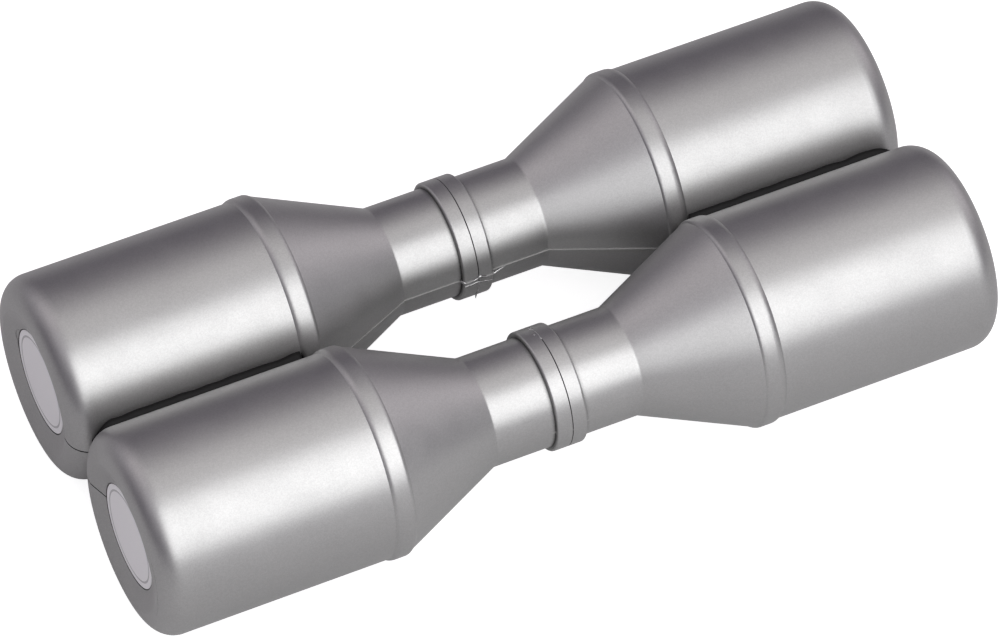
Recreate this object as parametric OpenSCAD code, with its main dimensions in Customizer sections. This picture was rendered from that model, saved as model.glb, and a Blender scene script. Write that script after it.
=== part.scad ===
// Double ganza shaker: two dumbbell tubes fixed side by side, each with loose shot in both drums.
// X runs along the tubes, Y from the front tube to the rear tube, Z up. The bands rest on z = 0.

/* [Drums] */
// Length of each tube, from rim to rim
tube_l = 292; // [264:1:330]
// Diameter of the drums
drum_d = 68.4; // [60:0.2:76]
// How far the bands stand proud of the drums
band_proud = 0.8; // [0.6:0.1:1.4]
// Width of each band
band_w = 7.1; // [6:0.1:9]
// Distance from the middle of the tube to the inner edge of a band
band_x = 60.7; // [54:0.1:68]
// Radius of a band's shoulder towards the cone
cone_shoulder = 2; // [1.5:0.1:2.6]
// Radius of a band's shoulder towards the drum
drum_shoulder = 3.1; // [1.5:0.1:4]
// How far the wide end of the cone lies below the band
cone_drop = 0.8; // [0.4:0.1:1.2]

/* [Neck] */
// Diameter of the straight neck
neck_d = 36.4; // [30:0.2:42]
// Length of the straight neck between the two cones
neck_l = 50.8; // [42:0.2:58]
// Width of the collar in the middle of the neck
collar_w = 10.5; // [7:0.5:16]
// How far the collar stands proud of the neck
collar_proud = 1.7; // [1.3:0.1:3]
// Radius of the collar's outer edges
collar_round = 0.7; // [0.4:0.1:1.2]
// Width of the groove round the joint between the collar's two halves
joint_gap = 0.2; // [0.1:0.05:0.4]
// Depth of the groove round the joint
joint_depth = 0.8; // [0.4:0.1:1.2]
// Bevel on the edges of the groove round the joint
joint_bevel = 0.1; // [0.05:0.05:0.3]
// Radius of the hollow corner between the neck and a cone
neck_round = 2; // [1:0.5:6]

/* [Ends] */
// Radius of the rounded rim at the end of a drum
end_round = 8.3; // [5:0.1:9]
// Width of the flat land on the rim
rim_flat = 1.2; // [0.8:0.1:2]
// Depth of the end's recessed floor below the rim
recess = 2.7; // [1:0.1:3.5]
// Depth of the pocket round the sticker, at the bottom of the recess
pocket = 0.4; // [0.2:0.1:0.8]
// Diameter of the sticker on the end's floor
sticker_d = 34.7; // [28:0.1:36]
// Thickness of a sticker
sticker_t = 0.3; // [0.15:0.05:0.6]
// Bare border of floor between a sticker and the edge of its pocket
sticker_border = 0.4; // [0.3:0.1:1.2]

/* [Shells] */
// Wall thickness of the shells
wall = 2.4; // [1.8:0.1:3.2]
// Height of the open seam across the end faces
seam_gap = 0.5; // [0.2:0.05:0.8]
// Depth of the open seam
seam_depth = 0.9; // [0.5:0.1:1.4]
// Height of the flash along the inner seam
flash_h = 0.35; // [0.2:0.05:0.5]
// Thickness of the flash
flash_t = 0.4; // [0.2:0.05:0.6]

/* [Joints between pieces] */
// Gap between the bands of the two tubes
tube_gap = 0.1; // [0.1:0.05:0.4]
// Glue line between a piece and the shell that it is glued to
glue_gap = 0.1; // [0.05:0.05:0.2]
// Length of the coupling inside a neck
coupling_l = 36; // [24:1:40]
// Wall of the coupling, and thickness of its closed middle
coupling_wall = 2; // [1.4:0.1:3]
// Height of the bond strip between the drums
bond_h = 8; // [5:0.5:12]
// Distance from the bond strip's ends to the band and to the rounded rim
bond_inset = 3; // [1:0.5:6]

/* [Shot] */
// Diameter of a ball of shot
shot_d = 4.5; // [3:0.1:5.5]
// Gap between the balls, and between the balls and the wall
shot_gap = 0.3; // [0.2:0.05:0.4]
// Rows of balls across the bottom of a drum
shot_rows = 4; // [2:1:5]
// Length of the bed of shot in a drum
shot_bed_l = 58; // [30:1:60]

/* [Hidden] */
$fn = 96;
overrun = 1;
nip_facets = 720;
hollow_steps = 4;
silver = "#8f8b90";
pale_grey = "#c9c8ca";
dark_glue = "#2a2830";
grey_plastic = "#6c6a70";
steel = "#b9bbbd";

half = tube_l / 2;
drum_r = drum_d / 2;
band_r = drum_r + band_proud;
cone_r = band_r - cone_drop;
neck_r = neck_d / 2;
neck_end = neck_l / 2;
collar_r = neck_r + collar_proud;
collar_end = collar_w / 2;
joint_start = joint_gap / 2;
band_end = band_x + band_w;
crest_start = band_x + shoulder_w(cone_shoulder, cone_drop);
crest_end = band_end - shoulder_w(drum_shoulder, band_proud);
cone_angle = atan2(cone_r - neck_r, band_x - neck_end);
hollow_x = neck_end - neck_round * tan(cone_angle / 2);

rim_r = drum_r - end_round;
rim_x = half - end_round;
land_r = rim_r - rim_flat;
sticker_r = sticker_d / 2;
floor_r = sticker_r + sticker_border;
floor_x = half - recess;

tube_y = band_r + tube_gap / 2;
bore_r = neck_r - wall;
chamber_r = drum_r - wall;

shot_path_r = chamber_r - shot_gap - shot_d / 2;
shot_pitch = shot_d + shot_gap;
shot_turn = 2 * asin(shot_pitch / (2 * shot_path_r));
shot_columns = floor(shot_bed_l / shot_pitch);
shot_x = (band_end + rim_x) / 2;

// One of the two tubes, and one of its two ends
REAR = 1;
FRONT = -1;
RIGHT = 1;
LEFT = -1;

// Where the tapering wall, moved inwards by d, reaches radius r
function cone_x(r, d) = neck_end + (r - neck_r + d / cos(cone_angle)) / tan(cone_angle);

// Width of a shoulder of this radius that falls by drop
function shoulder_w(radius, drop) = sqrt(2 * radius * drop - drop * drop);

// Quarter of a disc that rounds the corner outside and above its centre
module corner(centre, radius) {
    translate(centre) intersection() {
        circle(r = radius);
        square(radius);
    }
}

// Rounded edge of the band's crest above x, or below x with way = -1, that falls by drop
module shoulder(x, radius, drop, way) {
    translate([band_r - radius, x]) intersection() {
        circle(r = radius);
        translate([radius - drop, way > 0 ? 0 : -radius]) square(radius);
    }
}

// Hollow corner from the neck to the cone
function hollow() = [
    for (step = [0 : hollow_steps])
        let (turn = cone_angle * step / hollow_steps)
            [neck_r + neck_round * (1 - cos(turn)), hollow_x + neck_round * sin(turn)]
];

// Half section of an end half as if it were solid: radius to the right, distance from the middle upwards
module outside() {
    polygon([
        [0, 0],
        [collar_r - joint_depth, 0],
        [collar_r - joint_depth, joint_start],
        [collar_r - joint_bevel, joint_start],
        [collar_r, joint_start + joint_bevel],
        [collar_r, collar_end - collar_round],
        [collar_r - collar_round, collar_end],
        [neck_r, collar_end],
        each hollow(),
        [cone_r, band_x],
        [cone_r, crest_start],
        [band_r, crest_start],
        [band_r, crest_end],
        [drum_r, crest_end],
        [drum_r, rim_x],
        [rim_r, half],
        [land_r, half],
        [floor_r, floor_x + pocket],
        [floor_r, floor_x],
        [0, floor_x]
    ]);
    corner([collar_r - collar_round, collar_end - collar_round], collar_round);
    shoulder(crest_start, cone_shoulder, cone_drop, -1);
    shoulder(crest_end, drum_shoulder, band_proud, 1);
    corner([rim_r, rim_x], end_round);
}

// The same section without collar and band, moved inwards by d
module inside(d) {
    polygon([
        [0, 0],
        [neck_r - d, 0],
        [neck_r - d, cone_x(neck_r - d, d)],
        [drum_r - d, cone_x(drum_r - d, d)],
        [drum_r - d, rim_x],
        [rim_r, half - d],
        [land_r, half - d],
        [floor_r, floor_x - d],
        [0, floor_x - d]
    ]);
    corner([rim_r, rim_x], end_round - d);
}

// Strip of flash outside the neck, the collar and the cone
module flash_outline() {
    polygon([
        [bore_r, joint_start + joint_bevel],
        [collar_r + flash_h, joint_start + joint_bevel],
        [collar_r + flash_h, collar_end],
        [neck_r + flash_h, collar_end + flash_h],
        [neck_r + flash_h, neck_end],
        [cone_r + flash_h, band_x],
        [cone_r, band_x],
        [bore_r, neck_end]
    ]);
}

// What the open seam cuts away, on the end face and its rim
module seam_outline() {
    difference() {
        translate([0, rim_x]) square([drum_r + overrun, end_round + overrun]);
        inside(seam_depth);
    }
}

// Stands a half section up, as a plate of thickness t centred on the level plane
module plate(t) {
    rotate([90, 0, 0]) linear_extrude(t, center = true) children();
}

// Puts a piece drawn round the Z axis on a tube's axis, pointing to that tube's end
module place(tube, end) {
    translate([0, tube * tube_y, band_r])
        mirror([end == LEFT ? 1 : 0, 0, 0])
            rotate([90, 0, 90])
                children();
}

module upper_shell(tube, end) {
    color(silver) place(tube, end) {
        difference() {
            rotate_extrude(angle = 180) difference() {
                outside();
                inside(wall);
            }
            mirror([tube == REAR ? 1 : 0, 0, 0]) plate(seam_gap) seam_outline();
        }
        intersection() {
            mirror([tube == REAR ? 1 : 0, 0, 0]) plate(2 * flash_t) flash_outline();
            translate([-band_r, 0, 0]) cube([2 * band_r, flash_t, band_x]);
        }
    }
}

module lower_shell(tube, end) {
    color(silver) place(tube, end) difference() {
        mirror([0, 1, 0]) rotate_extrude(angle = 180) difference() {
            outside();
            inside(wall);
        }
        mirror([tube == REAR ? 1 : 0, 0, 0]) plate(seam_gap) seam_outline();
    }
}

// Plug across the neck joint, with a closed middle
module neck_coupling(tube) {
    radius = bore_r - glue_gap;
    color(grey_plastic) place(tube, RIGHT) rotate_extrude() difference() {
        translate([0, -coupling_l / 2]) square([radius, coupling_l]);
        for (way = [0, 1])
            mirror([0, way])
                translate([0, coupling_wall / 2])
                    square([radius - coupling_wall, coupling_l]);
    }
}

// Strip of hard glue in the nip between the two drums
module bond_strip(end) {
    start = band_end + bond_inset;
    length = rim_x - bond_inset - start;
    color(dark_glue) mirror([end == LEFT ? 1 : 0, 0, 0]) difference() {
        translate([start, -drum_r / 2, band_r - bond_h / 2]) cube([length, drum_r, bond_h]);
        for (tube = [REAR, FRONT])
            translate([start - overrun, tube * tube_y, band_r])
                rotate([0, 90, 0])
                    cylinder(r = drum_r + glue_gap, h = length + 2 * overrun, $fn = nip_facets);
    }
}

module sticker(tube, end) {
    color(pale_grey) place(tube, end) translate([0, 0, floor_x]) cylinder(r = sticker_r, h = sticker_t);
}

// Bed of balls along the bottom of a drum
module shot(tube, end) {
    color(steel) place(tube, end)
        for (row = [0 : shot_rows - 1], column = [0 : shot_columns - 1])
            rotate([0, 0, (row - (shot_rows - 1) / 2) * shot_turn])
                translate([0, -shot_path_r, shot_x + (column - (shot_columns - 1) / 2) * shot_pitch])
                    sphere(d = shot_d);
}

upper_shell(REAR, LEFT);  // rear_left_upper_shell
lower_shell(REAR, LEFT);  // rear_left_lower_shell
upper_shell(REAR, RIGHT);  // rear_right_upper_shell
lower_shell(REAR, RIGHT);  // rear_right_lower_shell
upper_shell(FRONT, LEFT);  // front_left_upper_shell
lower_shell(FRONT, LEFT);  // front_left_lower_shell
upper_shell(FRONT, RIGHT);  // front_right_upper_shell
lower_shell(FRONT, RIGHT);  // front_right_lower_shell
neck_coupling(REAR);  // rear_neck_coupling
neck_coupling(FRONT);  // front_neck_coupling
bond_strip(LEFT);  // left_bond_strip
bond_strip(RIGHT);  // right_bond_strip
sticker(REAR, LEFT);  // rear_left_sticker
sticker(REAR, RIGHT);  // rear_right_sticker
sticker(FRONT, LEFT);  // front_left_sticker
sticker(FRONT, RIGHT);  // front_right_sticker
shot(REAR, LEFT);  // rear_left_shot
shot(REAR, RIGHT);  // rear_right_shot
shot(FRONT, LEFT);  // front_left_shot
shot(FRONT, RIGHT);  // front_right_shot
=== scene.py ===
"""Looks of a double ganza shaker: two waisted tubes of satin silver plastic, fixed side by side."""

import math

import bmesh
import bpy
from mathutils import Matrix, Vector, noise


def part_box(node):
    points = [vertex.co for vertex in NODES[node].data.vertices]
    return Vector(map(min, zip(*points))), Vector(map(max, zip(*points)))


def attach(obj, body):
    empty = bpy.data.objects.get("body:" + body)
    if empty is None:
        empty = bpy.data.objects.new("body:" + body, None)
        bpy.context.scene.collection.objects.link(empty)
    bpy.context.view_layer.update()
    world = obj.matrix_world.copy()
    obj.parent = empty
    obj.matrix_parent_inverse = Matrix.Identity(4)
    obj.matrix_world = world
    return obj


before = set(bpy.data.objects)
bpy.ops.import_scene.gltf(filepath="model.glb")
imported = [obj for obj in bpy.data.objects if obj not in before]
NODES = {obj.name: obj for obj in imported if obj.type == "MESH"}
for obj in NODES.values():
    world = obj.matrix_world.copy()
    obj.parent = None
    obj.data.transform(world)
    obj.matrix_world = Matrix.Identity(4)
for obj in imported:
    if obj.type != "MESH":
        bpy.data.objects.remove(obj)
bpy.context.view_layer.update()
MM = 0.001

# Sizes that the frame gives
rear_low, rear_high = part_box("rear_left_upper_shell")
AXIS_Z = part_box("rear_left_lower_shell")[1].z
REAR_Y = (rear_low.y + rear_high.y) / 2
BAND_R = rear_high.z - AXIS_Z
HALF = -rear_low.x


# Node graphs


class Graph:
    """A material's or world's node tree, with short calls for the nodes used here."""

    def __init__(self, owner):
        owner.use_nodes = True
        self.tree = owner.node_tree
        self.tree.nodes.clear()

    def put(self, value, socket):
        """Links a socket's value, or sets a plain one."""
        if isinstance(value, bpy.types.NodeSocket):
            self.tree.links.new(value, socket)
        else:
            socket.default_value = value

    def node(self, kind, inputs=(), **settings):
        made = self.tree.nodes.new("ShaderNode" + kind)
        for key, value in settings.items():
            setattr(made, key, value)
        for key, value in dict(inputs).items():
            self.put(value, made.inputs[key])
        return made

    def math(self, operation, *values):
        return self.node("Math", dict(enumerate(values)), operation=operation).outputs[0]

    def vector(self, operation, *values):
        made = self.node("VectorMath", dict(enumerate(values)), operation=operation)
        return made.outputs["Value" if operation == "DOT_PRODUCT" else "Vector"]

    def place(self):
        """Where a point lies on the object: in the frame's axes, in metres."""
        return self.node("TexCoord").outputs["Object"]

    def noise(self, place, scale, detail=2.0, roughness=0.5):
        inputs = {"Vector": place, "Scale": scale, "Detail": detail, "Roughness": roughness}
        return self.node("TexNoise", inputs).outputs["Fac"]

    def mapped(self, value, low, high, to_low, to_high):
        inputs = {"Value": value, "From Min": low, "From Max": high, "To Min": to_low, "To Max": to_high}
        return self.node("MapRange", inputs).outputs["Result"]

    def mixed(self, factor, first, second):
        """Mixes two colours: their sockets are 6 and 7, and the result's is 2."""
        return self.node("Mix", {0: factor, 6: first, 7: second}, data_type="RGBA").outputs[2]

    def bump(self, height, strength, depth):
        inputs = {"Height": height, "Strength": strength, "Distance": depth}
        return self.node("Bump", inputs).outputs["Normal"]

    def surface(self, inputs):
        """Ends a material in the general surface shader."""
        self.finish(self.node("BsdfPrincipled", inputs).outputs["BSDF"])

    def finish(self, shader):
        kind = "OutputWorld" if isinstance(self.tree.id_data, bpy.types.World) else "OutputMaterial"
        self.tree.links.new(shader, self.node(kind).inputs["Surface"])


def grey(level, tint=(1.0, 1.0, 1.0)):
    return (*(level * part for part in tint), 1.0)


def new_material(name):
    made = bpy.data.materials.new(name)
    return made, Graph(made)


# Materials, with noise scales per metre

# The middle part of a noise's range, which is stretched to the wanted range
NOISE_LOW, NOISE_HIGH = 0.3, 0.7

# Silver: its levels of grey and the level of the painted shade in crevices, then the scale and depth of what
# varies them
SILVER_TINT = (1.0, 1.0, 0.99)
SILVER_DARK, SILVER_PALE, PAINTED_SHADE_LEVEL = 0.36, 0.44, 0.03
SILVER_METALLIC, SILVER_IOR = 0.95, 1.5
SILVER_ROUGHNESS = (0.40, 0.44)
DRIFT_SCALE, DRIFT_DEPTH = 28.0, 0.012
FLECK_SCALE, FLECK_DEPTH = 3400.0, 0.035
TONE_DEPTH = 0.05
PEEL_SCALE, GLOSS_SCALE = 900.0, 120.0

# Painted shade in the silver's crevices: how far they are looked for, and the openness that gets the full
# painted shade or none
PAINTED_SHADE_REACH = 2.2 * MM
SHADE_FULL_OPENNESS, SHADE_NONE_OPENNESS = 0.4, 0.85

# The flash along the seams, which gets no painted shade: half its height, and where it ends
FLASH_HALF_H, FLASH_END = 0.45 * MM, HALF - 7 * MM

# The ring printed on a sticker
RING_R, RING_HALF_W, RING_SOFT = 15.2 * MM, 0.32 * MM, 0.06 * MM
RING_LEVEL = 0.52


def on_flash(g, place):
    """1 on the flash along the seams, and 0 elsewhere."""
    parts = g.node("SeparateXYZ", {"Vector": place}).outputs
    off_z = g.math("ABSOLUTE", g.math("SUBTRACT", parts["Z"], AXIS_Z))
    at_seam = g.math("LESS_THAN", off_z, FLASH_HALF_H)
    between_ends = g.math("LESS_THAN", g.math("ABSOLUTE", parts["X"]), FLASH_END)
    return g.math("MULTIPLY", at_seam, between_ends)


def silver_plastic():
    """Satin silver-grey plastic with metallic flecks, a faint orange peel, and painted shade in its crevices.
    """
    made, g = new_material("silver_plastic")
    place = g.place()
    drift = g.mapped(g.noise(place, DRIFT_SCALE), NOISE_LOW, NOISE_HIGH, -DRIFT_DEPTH, DRIFT_DEPTH)
    cells = g.node("TexVoronoi", {"Vector": place, "Scale": FLECK_SCALE}).outputs["Color"]
    fleck = g.node("SeparateColor", {"Color": cells}).outputs["Red"]
    tone = g.math("ADD", drift, g.mapped(fleck, 0.0, 1.0, -FLECK_DEPTH, FLECK_DEPTH))
    level = g.mapped(tone, -TONE_DEPTH, TONE_DEPTH, 0.0, 1.0)
    unshaded_silver = g.mixed(level, grey(SILVER_DARK, SILVER_TINT), grey(SILVER_PALE, SILVER_TINT))
    # Painted shade: ambient occlusion darkens the colour in crevices, grooves and the nip, where shade falls;
    # the flash is kept out of it
    openness = g.node("AmbientOcclusion", {"Distance": PAINTED_SHADE_REACH}, samples=8).outputs["AO"]
    openness = g.math("MAXIMUM", openness, on_flash(g, place))
    # share is how much of the unshaded silver is kept; the rest is the painted shade's near-black
    share = g.mapped(openness, SHADE_FULL_OPENNESS, SHADE_NONE_OPENNESS, 0.0, 1.0)
    peel = g.noise(place, PEEL_SCALE, detail=3.0, roughness=0.6)
    gloss = g.noise(place, GLOSS_SCALE, detail=3.0)
    g.surface({
        "Base Color": g.mixed(share, grey(PAINTED_SHADE_LEVEL), unshaded_silver),
        "Metallic": SILVER_METALLIC,
        "Roughness": g.mapped(gloss, NOISE_LOW, NOISE_HIGH, *SILVER_ROUGHNESS),
        "Normal": g.bump(peel, 0.12, 0.06 * MM),
        "IOR": SILVER_IOR,
    })
    return made


def sticker_vinyl():
    """Pale grey vinyl with a fine printed ring near its edge."""
    made, g = new_material("sticker_vinyl")
    place = g.place()
    parts = g.node("SeparateXYZ", {"Vector": place}).outputs
    off_y = g.math("SUBTRACT", g.math("ABSOLUTE", parts["Y"]), REAR_Y)
    off_z = g.math("SUBTRACT", parts["Z"], AXIS_Z)
    radius = g.math("SQRT", g.math("ADD", g.math("POWER", off_y, 2.0), g.math("POWER", off_z, 2.0)))
    from_ring = g.math("ABSOLUTE", g.math("SUBTRACT", radius, RING_R))
    ring = g.mapped(from_ring, RING_HALF_W, RING_HALF_W + RING_SOFT, 1.0, 0.0)
    grain = g.noise(place, 2600.0)
    face = g.mixed(grain, grey(0.90), grey(0.96))
    g.surface({
        "Base Color": g.mixed(ring, face, grey(RING_LEVEL)),
        "Roughness": 0.42,
        "Normal": g.bump(grain, 0.1, 0.03 * MM),
    })
    return made


def bond_glue():
    """Near-black cured glue of the bond strips, also used for the nip fillets as painted shade: smooth, a
    little cloudy inside.
    """
    made, g = new_material("bond_glue")
    cloud = g.noise(g.place(), 700.0)
    g.surface({
        "Base Color": g.mixed(cloud, grey(0.0096), grey(0.0144)),
        "Roughness": 0.5,
        "Specular IOR Level": 0.15,
        "Normal": g.bump(cloud, 0.2, 0.1 * MM),
    })
    return made


def moulded_plastic():
    """Matt grey moulded plastic of the inner couplings."""
    made, g = new_material("moulded_plastic")
    grain = g.noise(g.place(), 1500.0, detail=3.0)
    g.surface({
        "Base Color": g.mixed(grain, grey(0.09), grey(0.12)),
        "Roughness": 0.6,
        "Normal": g.bump(grain, 0.3, 0.05 * MM),
    })
    return made


def shot_steel():
    """Plain steel balls, a little scuffed."""
    made, g = new_material("shot_steel")
    scuff = g.noise(g.place(), 900.0, detail=4.0, roughness=0.65)
    g.surface({
        "Base Color": g.mixed(scuff, grey(0.5), grey(0.62)),
        "Metallic": 1.0,
        "Roughness": g.mapped(scuff, NOISE_LOW, NOISE_HIGH, 0.22, 0.42),
    })
    return made


def weld_plastic():
    """The shells' plastic where the weld melted it: a little lighter, and glossy."""
    made, g = new_material("weld_plastic")
    cloud = g.noise(g.place(), 1200.0)
    g.surface({
        "Base Color": g.mixed(cloud, grey(0.42), grey(0.52)),
        "Metallic": 0.75,
        "Roughness": 0.2,
    })
    return made


def dress(ending, material):
    """Gives a material to each CAD node whose name ends so."""
    for name, piece in NODES.items():
        if name.endswith(ending):
            piece.data.materials.clear()
            piece.data.materials.append(material)


silver = silver_plastic()
dress("_shell", silver)
dress("_neck_coupling", moulded_plastic())
glue_and_nip_shade = bond_glue()
dress("_bond_strip", glue_and_nip_shade)
dress("_sticker", sticker_vinyl())
dress("_shot", shot_steel())


# Squeezed-out weld, near-black fillets as painted shade in the nip, and small marks on the tubes, in mm and
# degrees

# A turn goes round a tube's axis: 0 is the rear side, 90 the top and 180 the front side
REAR, FRONT = 1, -1
BAND_PROUD = 0.8
DRUM_R = BAND_R / MM - BAND_PROUD
RIM_ROUND = 8.3
RIM_START = HALF / MM - RIM_ROUND

BEAD_SIDES, BEAD_STEPS, LEAST_SIZE = 12, 6, 0.02
WOBBLE, WOBBLE_SCALE = 0.05 * MM, 1.3

# Without a seed, noise_vector gives another result on each run
noise.seed_set(1)

# The nip fillets: their ends, taper towards the rim, turn on the drums, hollow top, and height of the foot
FILLET_START, FILLET_STEPS = 68.2, 60
LEFT_FILLET_END, RIGHT_FILLET_END = 140.2, 142.6
FILLET_TAPER_L, FILLET_TAPER_TURN, FILLET_TAPER_SAG = 8.0, 10.0, 0.8
FILLET_TURN, FILLET_SAG, FILLET_FOOT = 161.0, 1.4, 3.6
FILLET_WAVE_SCALE = 0.15

# Points across the fillet's top and foot: 1 is at the rear drum and -1 at the front drum
FILLET_TOP, FILLET_BOTTOM = (1.0, 0.6, 0.25, -0.25, -0.6, -1.0), (-0.5, 0.5)


def on_tube(tube, x, radius, turn):
    """A place on a tube, and the way out from the axis there."""
    a = math.radians(turn)
    out = Vector((0.0, math.cos(a), math.sin(a)))
    return Vector((x * MM, tube * REAR_Y, AXIS_Z)) + out * radius * MM, out


def through(stations):
    """More stations, on a Catmull-Rom curve through the given ones, so that a bead swells smoothly."""
    rows = [stations[0], *stations, stations[-1]]
    made = []
    for before, first, second, after in zip(rows, rows[1:], rows[2:], rows[3:]):
        for k in range(BEAD_STEPS):
            t = k / BEAD_STEPS
            made.append([
                b + t * (c - a + t * (2 * a - 5 * b + 4 * c - d + t * (3 * b - a - 3 * c + d))) / 2
                for a, b, c, d in zip(before, first, second, after)
            ])
    return made + [list(stations[-1])]


def skin(shape, rings):
    """Joins rings of points into a closed form."""
    for first, second in zip(rings, rings[1:]):
        for k in range(len(first)):
            n = (k + 1) % len(first)
            shape.faces.new((first[k], first[n], second[n], second[k]))
    shape.faces.new(rings[0][::-1])
    shape.faces.new(rings[-1])


def add_bead(shape, tube, stations):
    """A bead on a tube, with a slightly uneven surface."""
    rows = through(stations)
    places = [on_tube(tube, *row[:3]) for row in rows]
    rings = []
    for i, (row, (place, out)) in enumerate(zip(rows, places)):
        along = places[min(i + 1, len(places) - 1)][0] - places[max(i - 1, 0)][0]
        across = along.cross(out).normalized()
        half_width, half_height = (max(size, LEAST_SIZE) * MM for size in row[3:])
        ring = []
        for k in range(BEAD_SIDES):
            t = 2 * math.pi * k / BEAD_SIDES
            spot = place + across * half_width * math.cos(t) + out * half_height * math.sin(t)
            ring.append(shape.verts.new(spot + noise.noise_vector(spot / MM * WOBBLE_SCALE) * WOBBLE))
        rings.append(ring)
    skin(shape, rings)


def finish_piece(name, shape, material):
    """Turns a shape into a smooth piece that rides with the tubes."""
    bmesh.ops.recalc_face_normals(shape, faces=shape.faces)
    for face in shape.faces:
        face.smooth = True
    mesh = bpy.data.meshes.new(name)
    shape.to_mesh(mesh)
    shape.free()
    piece = bpy.data.objects.new(name, mesh)
    bpy.context.scene.collection.objects.link(piece)
    mesh.materials.append(material)
    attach(piece, "shaker")


def add_weld(name, material, tube, *beads):
    """One piece made of beads on a tube."""
    shape = bmesh.new()
    for stations in beads:
        add_bead(shape, tube, stations)
    finish_piece(name, shape, material)


def drum_radius(x):
    """Radius of a drum at a distance from the middle, with its rounded rim."""
    over = max(0.0, abs(x) - RIM_START)
    return DRUM_R - RIM_ROUND + math.sqrt(RIM_ROUND ** 2 - over ** 2)


def add_fillet(name, end, last, material):
    """A near-black fillet in the nip between the drums, standing in for the nip's shade, with a hollow,
    uneven top that flattens at the rim.
    """
    shape = bmesh.new()
    rings = []
    for k in range(FILLET_STEPS + 1):
        x = end * (FILLET_START + (last - FILLET_START) * k / FILLET_STEPS)
        taper = max(0.0, 1 - (last - abs(x)) / FILLET_TAPER_L)
        wave = noise.noise(Vector((x * FILLET_WAVE_SCALE, end, 0.0)))
        rear, _ = on_tube(REAR, x, drum_radius(x), FILLET_TURN + FILLET_TAPER_TURN * taper ** 2 + wave)
        ring = []
        for share in FILLET_TOP:
            sag = FILLET_SAG * (1 - share * share) * (1 - FILLET_TAPER_SAG * taper)
            ring.append(shape.verts.new((rear.x, rear.y * share, rear.z - sag * MM)))
        for share in FILLET_BOTTOM:
            ring.append(shape.verts.new((x * MM, share * MM, AXIS_Z + FILLET_FOOT * MM)))
        rings.append(ring)
    skin(shape, rings)
    finish_piece(name, shape, material)


def ring_stations(x, radius, turns, half_width, half_height):
    """Stations of an even bead round a tube."""
    return [(x, radius, turn, half_width, half_height) for turn in turns]


# Each station of a bead is its x, distance from the axis, turn, half-width and half-height

# Along the seam over the rear collar, below that, and on the neck beside the collar
SEAM_BEAD = [
    (-5.9, 18.6, 179.0, 0.25, 0.30), (-5.2, 19.6, 179.3, 0.55, 0.55), (-4.3, 20.05, 179.6, 0.24, 0.26),
    (-2.4, 20.05, 179.6, 0.18, 0.22), (-0.5, 20.05, 177.6, 0.24, 0.26), (0.4, 20.05, 176.7, 0.50, 0.42),
    (1.4, 20.05, 177.6, 0.24, 0.26), (3.0, 20.05, 179.6, 0.18, 0.22), (4.5, 20.0, 179.8, 0.26, 0.26),
    (5.2, 19.6, 179.8, 0.36, 0.36),
]
LOWER_BEAD = [
    (-5.0, 19.9, 184.2, 0.16, 0.16), (-3.2, 19.95, 184.0, 0.14, 0.18), (-0.5, 19.95, 183.2, 0.20, 0.22),
    (1.4, 19.95, 184.6, 0.13, 0.16), (3.3, 19.95, 186.0, 0.15, 0.18), (4.9, 19.9, 187.4, 0.12, 0.14),
]
NECK_BEAD = [
    (5.6, 18.5, 185.0, 0.45, 0.50), (7.2, 18.35, 183.6, 0.45, 0.34), (8.9, 18.3, 181.6, 0.28, 0.22),
    (10.7, 18.2, 180.0, 0.08, 0.10),
]

# Down the rear collar's groove, and a drip that stands out of it
GROOVE_RUN = [
    (0.0, 19.85, 184.0, 0.20, 0.20), (0.05, 19.85, 190.0, 0.17, 0.16), (0.0, 19.85, 195.0, 0.15, 0.14),
    (0.1, 19.9, 199.0, 0.34, 0.30), (0.0, 19.8, 202.0, 0.12, 0.12),
]
GROOVE_DRIP = [(0.6, 19.6, 213.0, 0.60, 0.30), (0.3, 20.3, 214.6, 0.34, 0.26), (0.1, 21.0, 216.2, 0.08, 0.10)]

# On top of the front collar: in its groove, and three drops beside it
TOP_BEAD = ring_stations(0.0, 19.83, (34, 46, 58, 70, 80), 0.17, 0.10)
TOP_DROPS = (
    [(-0.9, 19.9, 53.8, 0.10, 0.10), (-0.6, 19.9, 54.8, 0.30, 0.20), (-0.2, 19.9, 55.8, 0.10, 0.10)],
    [(-1.3, 19.9, 69.4, 0.08, 0.08), (-1.1, 19.9, 70.2, 0.22, 0.14), (-0.9, 19.9, 71.0, 0.08, 0.08)],
    [(-0.4, 19.9, 76.8, 0.08, 0.08), (-0.2, 19.9, 78.2, 0.26, 0.20), (0.0, 19.85, 80.0, 0.08, 0.08)],
)

# On the left ends: near the front tube's rim, and on the rear tube's floor beside the sticker
MOULD_LINE = ring_stations(-145.86, 27.3, range(146, 206, 6), 0.10, 0.12)
MOULD_MARK = [
    (-143.78, 18.0, -7.0, 0.10, 0.10), (-143.80, 18.05, -2.5, 0.15, 0.15), (-143.82, 18.1, 3.0, 0.20, 0.20),
    (-143.95, 18.5, 7.5, 0.16, 0.18), (-144.10, 18.95, 12.0, 0.16, 0.18), (-144.15, 19.1, 17.0, 0.16, 0.18),
    (-144.06, 18.85, 22.0, 0.14, 0.16), (-143.92, 18.4, 26.0, 0.12, 0.14), (-143.78, 18.0, 28.5, 0.10, 0.10),
]

weld = weld_plastic()
# The nip fillets are near-black pieces that paint the shade in the nip between the drums
add_fillet("left_nip_shade_fillet", -1, LEFT_FILLET_END, glue_and_nip_shade)
add_fillet("right_nip_shade_fillet", 1, RIGHT_FILLET_END, glue_and_nip_shade)
add_weld("rear_collar_weld", weld, REAR, SEAM_BEAD, LOWER_BEAD, NECK_BEAD)
add_weld("rear_collar_run", weld, REAR, GROOVE_RUN, GROOVE_DRIP)
add_weld("front_collar_weld", weld, FRONT, TOP_BEAD, *TOP_DROPS)
add_weld("front_left_mould_line", silver, FRONT, MOULD_LINE)
add_weld("rear_left_mould_mark", silver, REAR, MOULD_MARK)


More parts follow.
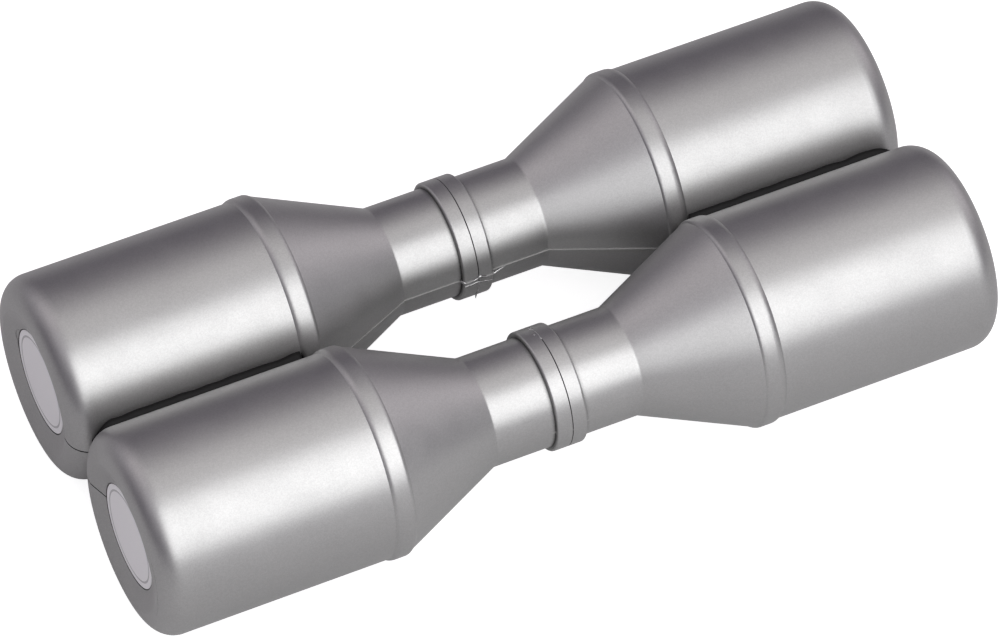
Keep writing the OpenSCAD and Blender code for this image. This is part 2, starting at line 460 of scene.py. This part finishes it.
# Stage: pale floor and soft studio light

FLOOR_SIZE = 8.0
FLOOR_COLOUR = grey(0.54)
FLOOR_GLOW = 0.85
GLOSS_SHARE = 0.04

# Each soft light: azimuth (0 is the front, 90 the right), elevation, spread, strength, tint
LIGHTS = (
    (112, 75, 22, 1.3, (1.0, 0.98, 0.95)),
    (-144, 52, 22, 1.0, (1.0, 0.93, 0.94)),
    (103, 30, 22, 1.2, (1.02, 0.95, 0.98)),
    (-72, 52, 22, 0.7, (1.0, 0.96, 1.0)),
    (-145, 18, 22, 0.45, (1.0, 0.97, 1.0)),
)
ROOM = (0.07, 0.055, 0.09)

# The big softbox in front: azimuth, elevation, distance from the middle of the object, width, height, power
SOFTBOX = (7, 40, 1.0, 1.38, 1.06, 13.1)


def direction(azimuth, elevation):
    a, e = math.radians(azimuth), math.radians(elevation)
    return Vector((math.sin(a) * math.cos(e), -math.cos(a) * math.cos(e), math.sin(e)))


def backdrop_share(g, seen):
    """How much of the white backdrop a ray gets: camera rays the given share, gloss and glass a little."""
    rays = g.node("LightPath").outputs
    direct = g.math("MULTIPLY", rays["Is Camera Ray"], seen)
    mirrored = g.math("MAXIMUM", rays["Is Glossy Ray"], rays["Is Transmission Ray"])
    return g.math("ADD", direct, g.math("MULTIPLY", mirrored, GLOSS_SHARE))


def make_floor():
    mesh = bpy.data.meshes.new("floor")
    grid = bmesh.new()
    bmesh.ops.create_grid(grid, x_segments=1, y_segments=1, size=FLOOR_SIZE / 2)
    grid.to_mesh(mesh)
    grid.free()
    floor = bpy.data.objects.new("floor", mesh)
    bpy.context.scene.collection.objects.link(floor)
    made, g = new_material("floor_paper")
    paper = g.node("BsdfDiffuse", {"Color": FLOOR_COLOUR}).outputs[0]
    light = g.node("Emission", {"Color": grey(1.0), "Strength": backdrop_share(g, FLOOR_GLOW)}).outputs[0]
    g.finish(g.node("AddShader", {0: paper, 1: light}).outputs[0])
    mesh.materials.append(made)


def make_world():
    """Soft lights on a dim room, and a white backdrop for the camera."""
    world = bpy.data.worlds.new("studio")
    bpy.context.scene.world = world
    g = Graph(world)
    towards = g.node("TexCoord").outputs["Generated"]
    total = ROOM
    for azimuth, elevation, spread, strength, tint in LIGHTS:
        facing = g.vector("DOT_PRODUCT", towards, direction(azimuth, elevation))
        sharpness = 1 / (1 - math.cos(math.radians(spread)))
        lobe = g.math("EXPONENT", g.math("MULTIPLY", g.math("SUBTRACT", facing, 1.0), sharpness))
        scaled = {0: [strength * part for part in tint], "Scale": lobe}
        total = g.vector("ADD", total, g.node("VectorMath", scaled, operation="SCALE").outputs[0])
    seen = g.mixed(backdrop_share(g, 1.0), total, grey(1.0))
    g.finish(g.node("Background", {"Color": seen, "Strength": 1.0}).outputs[0])


def make_softbox():
    azimuth, elevation, distance, width, height, power = SOFTBOX
    area = bpy.data.lights.new("softbox", "AREA")
    area.shape = "RECTANGLE"
    area.size, area.size_y, area.energy = width, height, power
    lamp = bpy.data.objects.new("softbox", area)
    bpy.context.scene.collection.objects.link(lamp)
    away = direction(azimuth, elevation)
    lamp.location = away * distance + Vector((0, 0, AXIS_Z))
    lamp.rotation_euler = away.to_track_quat("Z", "Y").to_euler()


make_floor()
make_world()
make_softbox()


# Camera: the photograph's place and lens

VIEW_AZIMUTH, VIEW_ELEVATION, VIEW_ROLL = -24.983, 48.908, -0.204
VIEW_DISTANCE = 2.670138
VIEW_TARGET = Vector((-0.948 * MM, -2.635 * MM, AXIS_Z))
VIEW_LENS = 302.15
VIEW_CLIP = (0.1, 50)


def make_camera():
    data = bpy.data.cameras.new("camera")
    camera = bpy.data.objects.new("camera", data)
    bpy.context.scene.collection.objects.link(camera)
    back = direction(VIEW_AZIMUTH, VIEW_ELEVATION)
    a = math.radians(VIEW_AZIMUTH)
    right = Vector((math.cos(a), math.sin(a), 0))
    up = back.cross(right)
    turn = Matrix.Rotation(math.radians(VIEW_ROLL), 3, back)
    axes = Matrix((turn @ right, turn @ up, back)).transposed()
    camera.matrix_world = Matrix.Translation(VIEW_TARGET + back * VIEW_DISTANCE) @ axes.to_4x4()
    data.lens = VIEW_LENS
    data.clip_start, data.clip_end = VIEW_CLIP
    bpy.context.scene.camera = camera


make_camera()
bpy.context.scene.view_settings.view_transform = "Standard"
